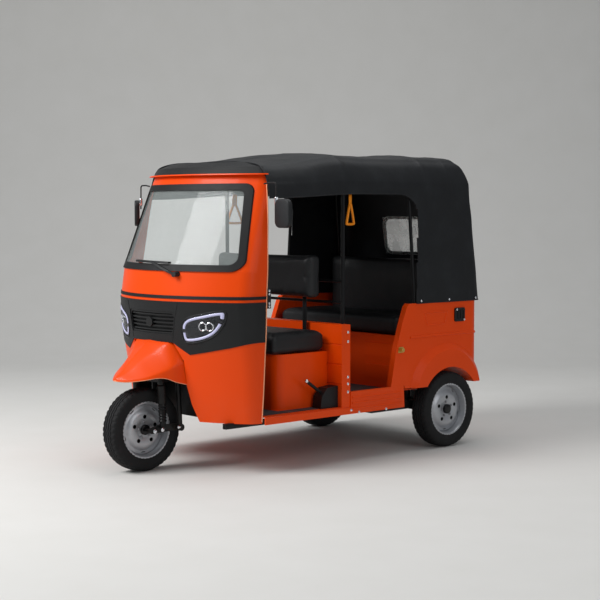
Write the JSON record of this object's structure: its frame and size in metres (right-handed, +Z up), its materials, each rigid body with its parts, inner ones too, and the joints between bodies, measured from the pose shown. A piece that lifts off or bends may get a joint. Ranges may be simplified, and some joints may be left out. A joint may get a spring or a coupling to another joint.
{
  "type": "auto rickshaw",
  "caption": "Passenger three-wheeler with a rounded open-sided cab, fabric hood over the bench seat, steered front wheel and hinged rear engine lid.",
  "frame": {"origin": "on the ground under the middle of the vehicle's box", "axes": "+X forwards, +Y to the driver's left, +Z up"},
  "size_m": [2.592, 1.595, 1.881],
  "materials": {
    "orange_paint": "gloss orange-red paint",
    "black_paint": "semi-gloss black paint",
    "black_plastic": "satin black moulded plastic",
    "rubber": "matt black rubber",
    "mat_rubber": "grey ribbed rubber",
    "glass": "clear glass",
    "film": "clear flexible film, slightly creased",
    "lamp": "clear lamp lens over a dark inside",
    "red_lens": "red lamp lens",
    "vinyl": "black vinyl over foam",
    "hood": "black coated canvas",
    "steel": "silver painted steel",
    "tyre": "black tyre rubber",
    "cast": "dull grey castings",
    "strap": "orange moulded plastic",
    "brass": "yellow plated steel",
    "mirror_shell": "black plastic shell"
  },
  "bodies": {
    "body": {"cab_upper_panel": "orange_paint", "belt_strip": "rubber", "front_mask": "black_plastic", "front_grille": "black_plastic", "headlamps": "lamp", "leg_shield": "orange_paint", "front_beak": "orange_paint", "windscreen_seal": "rubber", "windscreen_glass": "glass", "wiper": "black_plastic", "roof_cap": "black_plastic", "wheel_well": "black_paint", "dashboard": "black_plastic", "mirrors": "mirror_shell", "floor_pan": "orange_paint", "floor_mats": "mat_rubber", "side_sills": "orange_paint", "partition": "orange_paint", "driver_seat_base": "orange_paint", "driver_seat_cushion": "vinyl", "driver_backrest": "vinyl", "passenger_seat_base": "orange_paint", "passenger_seat_cushion": "vinyl", "passenger_backrest": "vinyl", "rear_quarter_left": "orange_paint", "rear_quarter_right": "orange_paint", "rear_panel": "orange_paint", "tail_lamps": "red_lens", "rear_bumper": "black_paint", "side_vents": "black_plastic", "side_catches": "brass", "canopy": "hood", "canopy_window": "film", "canopy_frame": "black_paint", "strap_handles": "strap", "brake_lever": "black_plastic", "chassis_frame": "black_paint", "engine_block": "cast", "half_shafts": "steel", "trailing_arms": "black_paint", "rear_dampers": "black_paint", "exhaust": "steel"},
    "front_wheel": {"front_rim": "steel", "front_tyre": "tyre"},
    "rear_wheel_left": {"rear_rim_left": "steel", "rear_tyre_left": "tyre"},
    "rear_wheel_right": {"rear_rim_right": "steel", "rear_tyre_right": "tyre"},
    "steering": {"fork": "black_paint", "leading_links": "black_paint", "front_shocks": "black_paint", "handlebar": "black_plastic"},
    "lid": {"engine_lid": "orange_paint"}
  },
  "joints": [
    {"name": "steering_turn", "type": "hinge", "parent": "body", "child": "steering", "pos_m": [0.90417, 0, 0.5], "axis": [-0.342, 0, 0.9397], "range_deg": [-40, 40]},
    {"name": "front_wheel_spin", "type": "hinge", "parent": "steering", "child": "front_wheel", "pos_m": [1.05417, 0, 0.245], "axis": [0, 1, 0], "continuous": true},
    {"name": "rear_wheel_left_spin", "type": "hinge", "parent": "body", "child": "rear_wheel_left", "pos_m": [-0.92583, 0.5875, 0.245], "axis": [0, 1, 0], "continuous": true},
    {"name": "rear_wheel_right_spin", "type": "hinge", "parent": "body", "child": "rear_wheel_right", "pos_m": [-0.92583, -0.5875, 0.245], "axis": [0, 1, 0], "continuous": true},
    {"name": "engine_lid_hinge", "type": "hinge", "parent": "body", "child": "lid", "pos_m": [-1.24483, 0, 0.799], "axis": [0, 1, 0], "range_deg": [0, 80]}
  ]
}
